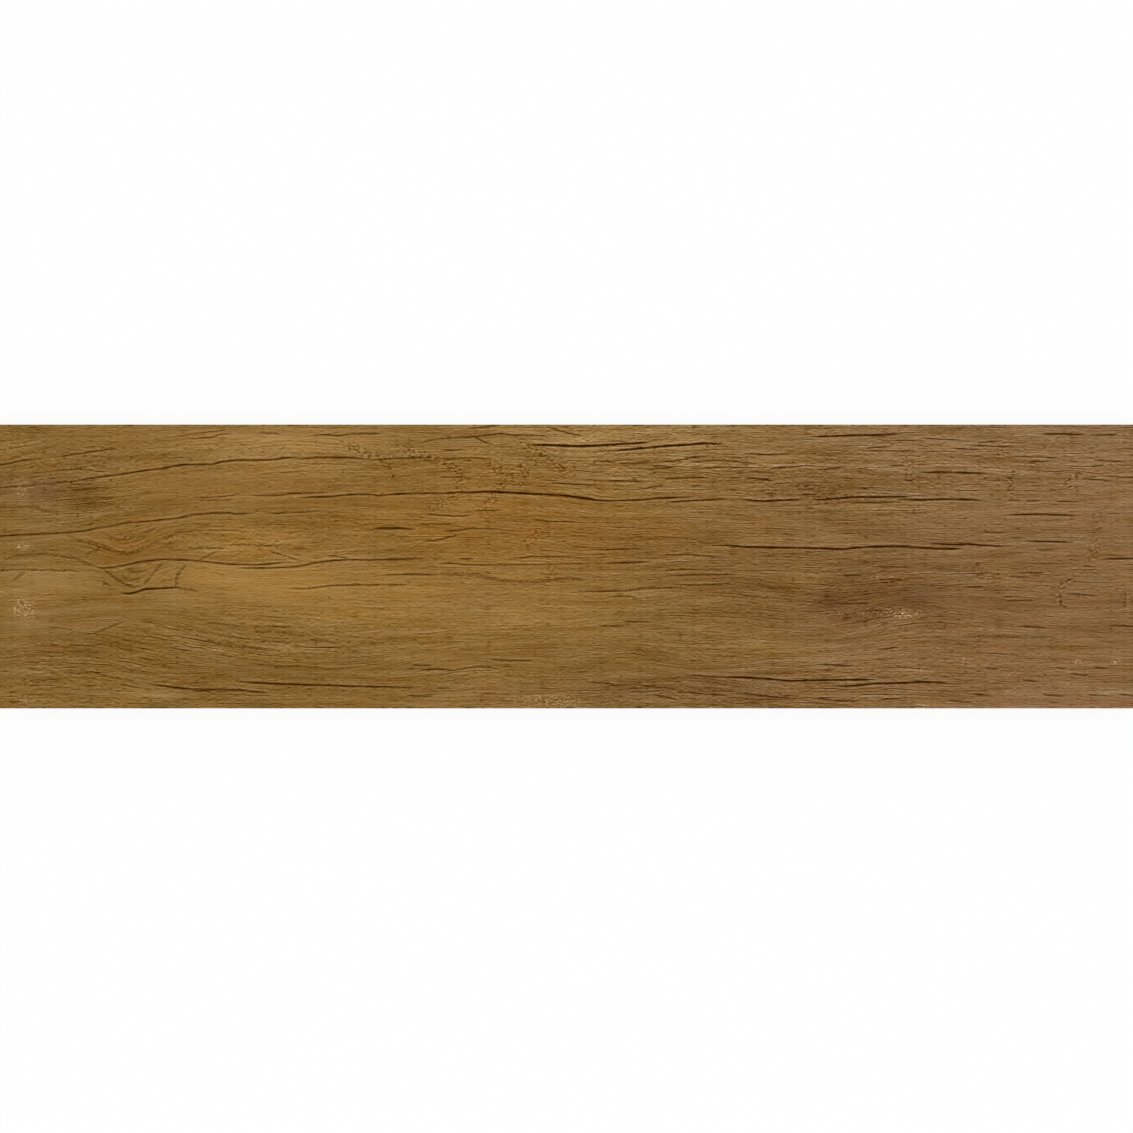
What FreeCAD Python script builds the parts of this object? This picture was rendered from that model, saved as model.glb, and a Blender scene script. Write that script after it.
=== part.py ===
# Wood-look porcelain plank tile: one slab, pressed, fired and ground square along its edges.
# It lies on its back with its face up. X runs along the plank, Y across it and Z up.
# The origin is the middle of the back, in the plane of the ribs that meet the adhesive bed.
# Lengths are in millimetres and angles in degrees.

import FreeCAD, Part
import Sketcher

import math
import os

# Each driving dimension: its alias in the sheet, its value and what it measures on the tile.
SIZES = [
    ("tile_length", 600.0, "long edge of the tile"),
    ("tile_width", 150.0, "short edge of the tile"),
    ("tile_thickness", 9.0, "rib tops on the back to the face"),
    ("face_arris", 0.6, "ground bevel round the face"),
    ("back_arris", 0.4, "ground bevel round the back"),
    ("back_rim", 10.0, "least flat rim from the tile's edge to the recesses"),
    ("rib_width", 4.0, "flat top of a rib between two recesses"),
    ("recess_length", 32.0, "mouth of a recess along the plank"),
    ("recess_width", 28.0, "mouth of a recess across the plank"),
    ("recess_depth", 0.7, "rib tops to the floor of a recess"),
    ("recess_corner", 4.0, "corner radius at the mouth of a recess"),
    ("recess_draft", 35.0, "lean of the recess walls, which frees the pressing punch"),
]

# The grid of recesses: the step from one to the next, how many fit inside the rim, and the
# distance from the first one to the last. The grid is centred, so the rims on both sides match.
STEP_ALONG = "(Sizes.recess_length + Sizes.rib_width)"
STEP_ACROSS = "(Sizes.recess_width + Sizes.rib_width)"
COUNT_ALONG = f"floor((Sizes.tile_length - 2 * Sizes.back_rim + Sizes.rib_width) / {STEP_ALONG})"
COUNT_ACROSS = f"floor((Sizes.tile_width - 2 * Sizes.back_rim + Sizes.rib_width) / {STEP_ACROSS})"
SPAN_ALONG = f"({COUNT_ALONG} - 1) * {STEP_ALONG}"
SPAN_ACROSS = f"({COUNT_ACROSS} - 1) * {STEP_ACROSS}"

# How a sketch's constraints name its origin point, and the two ends of a line or an arc.
SKETCH_ORIGIN = (-1, 1)
START, END = 1, 2

QUARTER_TURN = math.pi / 2
LEVEL_TOLERANCE = 1e-6


def make_sheet(doc):
    sheet = doc.addObject("Spreadsheet::Sheet", "Sizes")
    for row, (alias, value, meaning) in enumerate(SIZES, start=1):
        sheet.set(f"A{row}", alias)
        sheet.set(f"B{row}", str(value))
        sheet.set(f"C{row}", meaning)
        sheet.setAlias(f"B{row}", alias)
    doc.recompute()
    return sheet


def origin_feature(body, role):
    return next(feature for feature in body.Origin.OriginFeatures if feature.Role == role)


def new_sketch(body, name):
    sketch = body.newObject("Sketcher::SketchObject", name)
    sketch.AttachmentSupport = [(origin_feature(body, "XY_Plane"), "")]
    sketch.MapMode = "FlatFace"
    return sketch


def bind_constraint(sketch, name, constraint, expression):
    """Adds a dimension to the sketch and ties it to the sheet."""
    index = sketch.addConstraint(constraint)
    sketch.renameConstraint(index, name)
    sketch.setExpression(f"Constraints.{name}", expression)


def draw_sides(sketch, left, right, bottom, top, corner=0.0):
    """Draws the four sides of an upright rectangle, each short of its corners by the corner radius."""
    ends = [
        ((left + corner, bottom), (right - corner, bottom)),
        ((right, bottom + corner), (right, top - corner)),
        ((right - corner, top), (left + corner, top)),
        ((left, top - corner), (left, bottom + corner)),
    ]
    sides = []
    for start, end in ends:
        line = Part.LineSegment(FreeCAD.Vector(*start, 0), FreeCAD.Vector(*end, 0))
        sides.append(sketch.addGeometry(line))
    for number, side in enumerate(sides):
        sketch.addConstraint(Sketcher.Constraint(("Horizontal", "Vertical")[number % 2], side))
    return sides


def slab_outline(body, sheet):
    """The tile's plan: a rectangle centred on the origin."""
    sketch = new_sketch(body, "slab_outline")
    half_length = sheet.tile_length / 2
    half_width = sheet.tile_width / 2
    bottom, right, top, left = draw_sides(sketch, -half_length, half_length, -half_width, half_width)
    for side, following in ((bottom, right), (right, top), (top, left), (left, bottom)):
        sketch.addConstraint(Sketcher.Constraint("Coincident", side, END, following, START))
    sketch.addConstraint(Sketcher.Constraint("Symmetric", bottom, START, top, START, *SKETCH_ORIGIN))
    length = Sketcher.Constraint("DistanceX", bottom, START, bottom, END, sheet.tile_length)
    width = Sketcher.Constraint("DistanceY", right, START, right, END, sheet.tile_width)
    bind_constraint(sketch, "tile_length", length, "Sizes.tile_length")
    bind_constraint(sketch, "tile_width", width, "Sizes.tile_width")
    return sketch


def press_slab(body, outline):
    slab = body.newObject("PartDesign::Pad", "slab")
    slab.Profile = outline
    slab.setExpression("Length", "Sizes.tile_thickness")
    return slab


def edges_at_height(shape, height):
    """Names of the edges that lie wholly in one level plane."""
    names = []
    for number, edge in enumerate(shape.Edges, start=1):
        if all(abs(vertex.Z - height) < LEVEL_TOLERANCE for vertex in edge.Vertexes):
            names.append(f"Edge{number}")
    return names


def grind_arris(body, name, base, height, size_alias):
    """Bevels all four edges of the face or of the back."""
    arris = body.newObject("PartDesign::Chamfer", name)
    arris.Base = (base, edges_at_height(base.Shape, height))
    arris.setExpression("Size", f"Sizes.{size_alias}")
    return arris


def recess_outline(body, sheet):
    """The mouth of the recess nearest the tile's left front corner: a rectangle with round corners."""
    sketch = new_sketch(body, "recess_outline")
    corner = sheet.recess_corner
    left, bottom = -sheet.tile_length / 2 + sheet.back_rim, -sheet.tile_width / 2 + sheet.back_rim
    right, top = left + sheet.recess_length, bottom + sheet.recess_width
    sides = draw_sides(sketch, left, right, bottom, top, corner)
    centres = [
        (right - corner, bottom + corner),
        (right - corner, top - corner),
        (left + corner, top - corner),
        (left + corner, bottom + corner),
    ]
    arcs = []
    for number, centre in enumerate(centres):
        circle = Part.Circle(FreeCAD.Vector(*centre, 0), FreeCAD.Vector(0, 0, 1), corner)
        arc = Part.ArcOfCircle(circle, (number - 1) * QUARTER_TURN, number * QUARTER_TURN)
        arcs.append(sketch.addGeometry(arc))
    for number, arc in enumerate(arcs):
        following = sides[(number + 1) % len(sides)]
        sketch.addConstraint(Sketcher.Constraint("Tangent", sides[number], END, arc, START))
        sketch.addConstraint(Sketcher.Constraint("Tangent", arc, END, following, START))
    for arc in arcs[1:]:
        sketch.addConstraint(Sketcher.Constraint("Equal", arcs[0], arc))
    front, right_side, back, left_side = sides
    radius = Sketcher.Constraint("Radius", arcs[0], corner)
    length = Sketcher.Constraint("DistanceX", left_side, START, right_side, START, sheet.recess_length)
    width = Sketcher.Constraint("DistanceY", front, START, back, START, sheet.recess_width)
    left_offset = Sketcher.Constraint("DistanceX", left_side, START, *SKETCH_ORIGIN, -left)
    front_offset = Sketcher.Constraint("DistanceY", front, START, *SKETCH_ORIGIN, -bottom)
    bind_constraint(sketch, "corner_radius", radius, "Sizes.recess_corner")
    bind_constraint(sketch, "mouth_length", length, "Sizes.recess_length")
    bind_constraint(sketch, "mouth_width", width, "Sizes.recess_width")
    bind_constraint(sketch, "left_of_middle", left_offset, f"({SPAN_ALONG} + Sizes.recess_length) / 2")
    bind_constraint(sketch, "front_of_middle", front_offset, f"({SPAN_ACROSS} + Sizes.recess_width) / 2")
    return sketch


def press_recess(body, outline):
    """One shallow recess in the back, with walls that lean in towards its floor."""
    recess = body.newObject("PartDesign::Pocket", "recess")
    recess.Profile = outline
    recess.Reversed = True
    recess.setExpression("Length", "Sizes.recess_depth")
    recess.setExpression("TaperAngle", "-Sizes.recess_draft")
    return recess


def repeat_recess(body, recess):
    """The waffle of recesses that keys the back into its adhesive."""
    grid = body.newObject("PartDesign::LinearPattern", "recess_grid")
    grid.Originals = [recess]
    grid.Direction = (origin_feature(body, "X_Axis"), [""])
    grid.Direction2 = (origin_feature(body, "Y_Axis"), [""])
    grid.setExpression("Length", SPAN_ALONG)
    grid.setExpression("Length2", SPAN_ACROSS)
    grid.setExpression("Occurrences", COUNT_ALONG)
    grid.setExpression("Occurrences2", COUNT_ACROSS)
    body.Tip = grid
    return grid


def build_tile(doc, sheet):
    body = doc.addObject("PartDesign::Body", "plank_tile")
    body.Label = "plank_tile"
    slab = press_slab(body, slab_outline(body, sheet))
    doc.recompute()
    face_arris = grind_arris(body, "face_arris", slab, sheet.tile_thickness, "face_arris")
    doc.recompute()
    back_arris = grind_arris(body, "back_arris", face_arris, 0.0, "back_arris")
    doc.recompute()
    recess = press_recess(body, recess_outline(body, sheet))
    doc.recompute()
    grid = repeat_recess(body, recess)
    doc.recompute()
    if not back_arris.Shape.Volume > recess.Shape.Volume > grid.Shape.Volume:
        raise RuntimeError("the recesses cut nothing out of the back")
    return body


def check(doc, sub_parts):
    for thing in doc.Objects:
        faults = {"Invalid", "Error"} & set(thing.State)
        if faults:
            raise RuntimeError(f"{thing.Label} did not build: {sorted(faults)}")
    for body in sub_parts:
        if body.Shape.isNull() or not body.Shape.isValid():
            raise RuntimeError(f"{body.Label} has no valid shape")


def main():
    doc = FreeCAD.newDocument("plank_tile")
    sheet = make_sheet(doc)
    sub_parts = [build_tile(doc, sheet)]
    check(doc, sub_parts)
    os.makedirs("parts", exist_ok=True)
    for body in sub_parts:
        body.Shape.exportStep(os.path.join("parts", f"{body.Label}.step"))
        box = body.Shape.BoundBox
        print(f"{body.Label}: {box.XLength:.2f} x {box.YLength:.2f} x {box.ZLength:.2f} mm,"
              f" {body.Shape.Volume:.0f} mm3, {len(body.Shape.Faces)} faces, {len(body.Shape.Solids)} solid")


main()
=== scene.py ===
import math

import bpy
import numpy as np
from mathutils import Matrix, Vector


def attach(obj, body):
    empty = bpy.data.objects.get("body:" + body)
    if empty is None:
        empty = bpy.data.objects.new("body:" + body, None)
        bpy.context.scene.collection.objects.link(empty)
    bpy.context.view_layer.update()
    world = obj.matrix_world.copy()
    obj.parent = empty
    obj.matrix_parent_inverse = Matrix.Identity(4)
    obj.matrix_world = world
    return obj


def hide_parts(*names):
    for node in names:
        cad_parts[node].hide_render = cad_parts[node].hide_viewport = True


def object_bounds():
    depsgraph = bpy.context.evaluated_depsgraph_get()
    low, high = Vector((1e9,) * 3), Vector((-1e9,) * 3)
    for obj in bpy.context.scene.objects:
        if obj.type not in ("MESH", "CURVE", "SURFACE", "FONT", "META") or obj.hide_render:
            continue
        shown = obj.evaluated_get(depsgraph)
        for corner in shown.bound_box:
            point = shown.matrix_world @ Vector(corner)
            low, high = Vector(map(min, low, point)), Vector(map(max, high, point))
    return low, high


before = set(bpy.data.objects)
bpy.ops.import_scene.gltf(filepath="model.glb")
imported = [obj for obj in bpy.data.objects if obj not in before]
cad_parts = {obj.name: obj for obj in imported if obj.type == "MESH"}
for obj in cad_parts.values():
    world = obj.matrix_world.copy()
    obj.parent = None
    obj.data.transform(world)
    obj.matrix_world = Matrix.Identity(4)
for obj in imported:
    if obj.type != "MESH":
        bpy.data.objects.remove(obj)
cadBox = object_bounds()
millimetre = 0.001
tolerance = 0.01  # millimetres
weldDigits = 4  # decimals of a millimetre by which the corners of the solid are told apart
tileLength, tileWidth, tileThickness = ((cadBox[1] - cadBox[0]) / millimetre)[:]
print(f"frame loaded: tile {tileLength:.1f} x {tileWidth:.1f} x {tileThickness:.1f} mm")

photoSide = 1133  # pixels: the tile's length fills the photograph's width
photoMiddle = photoSide / 2
perPixel = tileLength / photoSide
latticeSize = (64, 512)  # values of one noise, which wraps and is large enough for the face
latticeStart = 100  # keeps the places on it above zero


def onTile(course):
    spots = np.reshape(course, (-1, 2))  # x, y, x, y in pixels, to millimetres from the middle of the face
    return (spots - photoMiddle) * (perPixel, -perPixel)


def patch(x, y, middle, reach):
    cx, cy = onTile(middle)[0]
    rx, ry = np.array(reach) * perPixel
    return np.exp(-((x - cx) / rx) ** 2 - ((y - cy) / ry) ** 2)


def smoothStep(low, high, value):
    t = np.clip((value - low) / (high - low), 0, 1)
    return t * t * (3 - 2 * t)


def thinEnds(along, whole, taper):
    return smoothStep(0, taper, along) * smoothStep(0, taper, whole - along)


def softNoise(x, y, cellX, cellY, seed):
    lattice = np.random.default_rng(seed).uniform(-1, 1, latticeSize)
    u, v = x / cellX + latticeStart, y / cellY + latticeStart
    i, j = np.floor(u).astype(int), np.floor(v).astype(int)
    s, t = smoothStep(0, 1, u - i), smoothStep(0, 1, v - j)
    wide, high = latticeSize
    near = lattice[i % wide, j % high] * (1 - s) + lattice[(i + 1) % wide, j % high] * s
    far = lattice[i % wide, (j + 1) % high] * (1 - s) + lattice[(i + 1) % wide, (j + 1) % high] * s
    return near * (1 - t) + far * t


# Splits in the wood, traced along their middles: half width in pixels, how dark, and the course.
splits = {
    "upperLeft": (0.9, 0.66, (-12, 466, 8, 464.2, 17, 462, 24, 460.6, 38, 459, 47, 458.4)),
    "upperLeftEnd": (0.85, 0.64, (52, 458, 71, 455.3, 83, 453.3, 97, 451.4, 111, 449.5, 121, 448)),
    "tongueTopStart": (0.8, 0.5, (-12, 489.5, 11, 486.8, 28, 486, 38, 484.8, 50, 483.7, 75, 481.5,
        98, 477.6)),
    "tongueTop": (1.0, 0.74, (78, 480, 92, 478.2, 115, 475.3, 140, 471.6, 153, 469.7, 165, 468.4, 175, 466,
        185, 464.8, 214, 464.4, 222, 462, 236, 460.5, 270, 460.2, 290, 457.8, 304, 457.7)),
    "tongueTopNext": (0.95, 0.68, (292, 459.8, 304, 459, 316, 457.7, 334, 457.4, 355, 458, 372, 460.2)),
    "tongueTopEnd": (0.85, 0.6, (368, 460, 384, 459, 415, 458, 426, 457.4, 438, 457.4)),
    "tongueTopLast": (0.75, 0.55, (440, 460.8, 456, 459, 471, 457.7, 484, 458.8, 496, 461)),
    "belowTongue": (0.9, 0.66, (-12, 537, 18, 535, 42, 534, 63, 533, 85, 531, 97, 528.5, 113, 526, 127, 523,
        151, 521, 170, 519, 194, 516.8)),
    "belowTongueEnd": (0.95, 0.66, (176, 518, 192, 515, 214, 513.1, 229, 512.7, 235, 514, 256, 513.2)),
    "belowTongueLast": (0.75, 0.58, (262, 513.1, 278, 513.4, 287, 512.4, 309, 512.1, 321, 509.7)),
    "longStart": (0.85, 0.64, (250, 495.6, 267, 495.6, 282, 495.3, 289, 493.7, 301, 493.5, 332, 492.3)),
    "longMiddle": (0.9, 0.74, (297, 497.7, 315, 497, 329, 497, 341, 495.6, 357, 494.3, 371, 494.3, 379, 496,
        391, 494.6, 408, 493.9, 426, 493.2, 443, 493.3, 457, 492.2)),
    "longDark": (1.0, 0.85, (438, 493.4, 459, 492.6, 478, 492.3, 488, 491.6, 497, 491.8, 515, 493)),
    "longDarker": (1.25, 0.97, (476, 492.2, 494, 492, 515, 493, 529, 493.7, 546, 494.6, 561, 495.3,
        582, 497.7, 602, 500.5)),
    "longAfter": (1.0, 0.8, (563, 496.2, 588, 499.6, 607, 500.9, 627, 500.5, 643, 499.8, 655, 498.4,
        669, 497.7, 697, 496.7)),
    "longOverlap": (0.9, 0.78, (663, 502.7, 680, 501.2, 697, 500.5, 712, 499.8, 729, 499)),
    "longRight": (1.1, 0.92, (739, 499.7, 751, 500.5, 761, 501.2, 786, 500.2, 806, 499.8)),
    "longFar": (1.15, 0.93, (810, 499.5, 820, 500, 828, 499.5, 836, 498.4, 848, 497.6, 860, 497, 874, 497.3,
        889, 496.7, 914, 497)),
    "longEnd": (1.1, 0.92, (896, 499.3, 920, 500, 945, 499.3, 961, 499.6, 986, 500.5)),
    "eyeLower": (0.85, 0.5, (-12, 570.9, 13, 569.6, 27, 569.6, 42, 570.3, 51, 569.6, 61, 570.9, 71, 570,
        81, 572)),
    "knotLine": (0.95, 0.7, (92, 564, 101, 568.1, 112, 567.7, 128, 564.8, 140, 562, 153, 560.4, 165, 559.4,
        188, 560, 199, 561, 212, 562.2, 226, 563.9, 257, 565, 271, 563.9, 292, 561.6)),
    "knotLineEnd": (0.9, 0.7, (237, 568, 268, 568, 282, 567.4, 296, 566.7, 306, 565.3, 312, 563.2,
        322, 561.7, 336, 560.3, 352, 559.6, 369, 560.2, 394, 559.4, 428, 558.3)),
    "knotCrack": (1.15, 0.9, (119, 592.8, 130, 593.6, 138, 592, 144, 589.4, 153, 588.5, 165, 588.1,
        178, 587.2, 184, 587)),
    "fanSplit": (0.95, 0.8, (149, 683.6, 161, 685, 170, 686.6, 189, 688.2, 199, 690, 220, 689, 243, 690,
        268, 692.5)),
    "lowerLeft": (1.0, 0.84, (241, 681.5, 280, 683.5, 305, 684.5, 344, 685.5, 367, 686.5)),
    "lowerLeftEnd": (0.85, 0.66, (338, 685.4, 362, 686.3, 388, 686.5, 417, 687.6)),
    "topFirst": (0.8, 0.64, (307, 436, 326, 435, 340, 436, 351, 434.1, 385, 433.8)),
    "topSecond": (0.75, 0.52, (415, 444.5, 426, 441.5, 439, 439.2, 453, 438, 477, 437.2)),
    "topThird": (0.85, 0.66, (456, 438, 474, 437, 487, 435.2, 502, 433.8, 513, 435.5, 532, 435.5,
        556, 436.7)),
    "topWedge": (0.95, 0.58, (469, 435, 478, 438.7, 484, 442.2, 494, 444.6)),
    "upperMiddle": (1.35, 1.0, (526, 445, 546, 445.3, 576, 446.4, 590, 446, 621, 444.3, 636, 443.6,
        652, 442.4)),
    "upperMiddleEnd": (1.25, 1.0, (611, 450.8, 629, 449.7, 646, 448.3, 663, 446.4, 691, 444.8, 702, 443.6,
        727, 444.5)),
    "topRight": (1.05, 0.9, (808, 437.5, 826, 436.4, 854, 435.5, 882, 435.1, 894, 434.2, 903, 434.6)),
    "topFar": (0.95, 0.85, (1037, 434.4, 1059, 434.3, 1086, 434.9)),
    "shortDark": (1.3, 0.8, (372, 528.5, 398, 528.1, 418, 529.6)),
    "middleLine": (0.75, 0.6, (436, 564.4, 450, 563, 467, 564.8, 501, 565, 532, 564.4, 592, 563.6)),
    "middleRight": (0.75, 0.6, (586, 549, 604, 549.6, 621, 549.4, 647, 548)),
    "middleRightLow": (0.95, 0.76, (601, 563.7, 614, 563, 628, 562.6, 652, 561.5)),
    "belowMiddle": (0.85, 0.56, (574, 591, 608, 591.3, 627, 590.6, 643, 588, 657, 587.8, 692, 587.4)),
    "rightLong": (1.15, 0.95, (712, 545, 730, 545.7, 748, 547.1, 779, 547.5, 817, 548.2, 843, 549.4,
        854, 547.9, 866, 547, 892, 546.3, 907, 546.8, 934, 548.5, 965, 548.8)),
    "rightLongEnd": (1.05, 0.9, (925, 543.4, 953, 544.7, 967, 544, 979, 545.2, 999, 546.3, 1012, 545.6)),
    "rightUpper": (1.0, 0.9, (1003, 515.1, 1031, 514.3, 1055, 514.8, 1077, 515.7)),
    "rightShort": (0.95, 0.9, (1021, 541, 1048, 541.6, 1074, 542.2)),
    "rightEdge": (1.0, 0.87, (1098, 559.6, 1108, 558.7, 1119, 558.4, 1145, 558.5)),
    "rightHigh": (0.95, 0.86, (916, 473, 939, 472.2, 966, 472.9, 991, 473.7)),
    "lowerRightStart": (0.85, 0.64, (683, 675.2, 698, 675.2, 709, 676.6, 743, 677.4)),
    "lowerRight": (1.2, 0.95, (720, 676.8, 742, 677.2, 772, 679, 789, 680.6, 820, 679.9, 854, 679.5,
        876, 679.2)),
    "lowerRightEnd": (1.15, 0.95, (830, 686, 851, 685.5, 873, 683.3, 902, 682.7, 915, 681.8, 933, 682,
        951, 683.2)),
}

# Finer lines, traced in the same way, with several courses to a kind.
hairlines = {
    "swirl": (1.7, 0.31, [
        (65, 534, 80, 540.3, 92, 543, 112, 550, 126, 554, 139, 551.8, 150, 546, 165, 539, 176, 533.7,
         190, 528.6), (106, 532.6, 112, 537.7, 121, 540.5, 129, 539, 138, 536.5, 148, 532, 160, 526.3),
        (86, 555, 94, 551, 103, 549),
        (2, 561, 15, 556.2, 36, 554.3, 51, 554.3, 64, 556.9, 77, 558.2, 87, 563.3, 99, 567),
        (27, 570.9, 20, 576, 14, 580.5), (-12, 507, 23, 506.9, 37, 506.6, 45, 511, 66, 514),
        (126, 569, 140, 572, 152, 569)]),
    "bowl": (1.6, 0.4, [
        (103, 568, 112, 574.7, 119, 579.8, 126, 584.3, 134, 586.9, 144, 585.6),
        (143, 586, 148, 581, 153, 574.7, 158, 568.4, 166, 561.5),
        (176.5, 589.5, 177, 582, 178.5, 574, 182, 569.8, 188, 564), (103, 581.5, 112, 586.5),
        (176, 588, 188, 589.4, 201, 590.7)]),
    "knotThreads": (0.7, 0.5, [
        (198, 561, 205, 557.5, 212, 554, 221, 550), (269, 550.8, 282, 554.7, 292, 558.2, 305, 561.6),
        (326, 555, 338, 556.8, 351, 558.4), (191, 548.4, 204, 547.7, 231, 548.5),
        (219, 545, 254, 544.5, 271, 545.6, 296, 544.5), (293, 547.5, 309, 548.6),
        (54, 471.3, 71, 469.7, 89, 466.7, 101, 465.2), (84, 481.2, 101, 480),
        (70, 491, 89, 489, 102, 487.7), (193, 497.7, 222, 497, 242, 494), (196, 500.5, 238, 499.8),
        (178, 436.2, 208, 432.4, 228, 430.2), (184, 438.8, 212, 437.8, 222, 434.5, 235, 433.7),
        (257, 433.4, 273, 433.5, 285, 434.6)]),
    "fan": (0.7, 0.42, [
        (77, 634, 94, 633.4, 108, 628.3, 119, 623.2, 129, 620.2), (49, 627, 66, 628.3, 74, 629.7),
        (68, 644.2, 82, 645.1, 106, 644.8), (120, 638.8, 133, 641, 152, 645),
        (168, 624, 191, 629.8, 212, 633.3, 226, 636, 252, 639, 268, 641, 294, 642),
        (176, 635.5, 200, 640, 224, 644, 240, 646, 264, 648.7, 285, 649),
        (207, 622, 226, 624.2, 242, 626.4), (247, 625.8, 271, 626, 298, 627.4),
        (253, 630, 273, 632, 299, 633), (303, 640, 320, 640.5, 342, 643.2),
        (250, 663.8, 278, 666, 303, 666, 330, 669, 362, 666.8), (34, 645.4, 62, 645.4),
        (36, 651.9, 64, 652), (138, 657, 154, 660.3),
        (40, 673.2, 61, 671.6, 82, 673.5, 94, 671.6, 111, 676.7, 128, 680, 143, 682)]),
    "upperDashes": (0.75, 0.68, [
        (464, 429, 478, 428, 501, 425.8), (545, 426.5, 564, 432.4, 584, 436.5),
        (441, 450, 453, 450.7, 466, 449.2), (438, 477, 452, 477.3, 466, 476.5),
        (548, 482, 567, 484, 602, 485.6), (594, 461, 618, 462.7), (618, 464, 648, 463.2),
        (658, 462, 677, 460.8, 688, 458.4, 710, 455.8), (686, 462.8, 716, 460.2, 730, 461.2, 763, 465),
        (644, 469.7, 676, 467.4), (686, 469.7, 716, 467.5, 755, 467.5), (766, 468.7, 811, 465.8),
        (721, 470.8, 739, 472.4, 774, 472.4), (661, 479.5, 694, 477.6, 709, 477.6), (606, 481, 648, 481.5),
        (746, 454, 761, 454.9, 791, 454.9), (744, 477.8, 777, 481.3), (638, 489.4, 666, 485.5),
        (890, 440.5, 920, 441), (920, 438.6, 960, 440.3), (862, 448.3, 891, 446.9), (859, 451, 919, 451.2),
        (951, 448.7, 982, 450), (964, 445, 1018, 447.6), (975, 443.2, 1002, 441),
        (1013, 456.9, 1058, 457.7), (1024, 462, 1048, 462), (1091, 460.3, 1127, 462.1),
        (1089, 466.8, 1104, 465.2), (847, 503, 901, 502.1), (798, 494.4, 816, 494.9),
        (887, 465.8, 906, 465.4), (900, 479.8, 914, 481.1), (814, 470.2, 845, 467.2),
        (1086, 435.3, 1118, 435)]),
    "middleDashes": (0.75, 0.64, [
        (421, 513.6, 439, 515.2, 453, 516.2, 476, 515.4), (416, 524.3, 458, 523.9),
        (441, 530, 459, 530.6, 470, 528.5, 503, 528.5), (472, 511, 503, 510.2),
        (529, 519.2, 548, 521.5, 580, 521.5), (657, 556.2, 671, 555, 688, 554.3, 711, 556.7, 732, 557.5),
        (661, 570.8, 683, 569.3, 699, 569.3), (665, 575.7, 691, 574.9, 739, 574.2),
        (672, 584.6, 699, 585, 732, 583.2), (605, 596.6, 631, 596.2, 638, 599), (598, 625.4, 626, 626.1),
        (622, 620.8, 652, 622), (378, 574.9, 411, 574.2, 443, 574.6), (420, 541.4, 436, 540.5, 460, 534.6),
        (378, 584.7, 410, 584.7), (286, 588.2, 310, 588.4, 333, 585.2, 392, 584.6),
        (510, 558.9, 529, 556.7, 576, 556.7), (458, 558.8, 475, 558.8), (1079, 478.4, 1116, 481.5),
        (1099, 476.3, 1145, 478.2), (1007, 500, 1021, 501), (1023, 501.3, 1040, 500.8),
        (1053, 501.3, 1081, 501.9), (982, 531.8, 1005, 533.1), (840, 576, 863, 574.8),
        (877, 579, 904, 579.5), (833, 603.8, 871, 603.3), (861, 611.6, 884, 609.5),
        (870, 566.6, 913, 567.3), (1014, 572.8, 1045, 572.7), (1007, 576.8, 1031, 577.2),
        (1060, 593.4, 1084, 594.6, 1098, 595.6), (1000, 597, 1013, 596.7), (1004, 600.4, 1036, 600),
        (963, 586.8, 985, 586.8), (1035, 550, 1057, 549.9), (1079, 565.8, 1095, 566.5)]),
    "lowerDashes": (0.8, 0.66, [
        (486, 658.2, 503, 660.2, 538, 660), (410, 665, 434, 665.1),
        (416, 669.8, 440, 668.7, 453, 670.3, 470, 667.2, 481, 666.4, 502, 668.3), (406, 695.2, 434, 696),
        (641, 685.6, 676, 688.8), (675, 690.8, 694, 692.8, 730, 695),
        (734, 692.6, 756, 694.6, 786, 698.1, 800, 697.7), (588, 682.3, 607, 682.3, 620, 687),
        (652, 694, 678, 699.3), (816, 664, 859, 666.1), (876, 649.8, 899, 646.5),
        (808, 697.2, 837, 700.3, 861, 700.6), (878, 699.4, 902, 698.2), (944, 699.8, 973, 702.7),
        (982, 667.5, 999, 668.6), (1053, 667.2, 1066, 668.5), (1090, 667.2, 1108, 668.3),
        (1020, 679.8, 1039, 681.4), (1068, 673.6, 1089, 675.3), (1015, 625.8, 1049, 628),
        (1105, 624.8, 1145, 626.8), (971, 693.9, 995, 695.7), (1040, 694.3, 1065, 696.1),
        (1085, 694.2, 1109, 695.7), (1114, 693.9, 1145, 696), (435, 687.9, 451, 687.4)]),
    "softBand": (2.0, 0.3, [
        (437, 573.5, 478, 575, 506, 581, 534, 582.6, 566, 578.4, 590, 580), (958, 636.5, 1058, 636.5)]),
}

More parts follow.
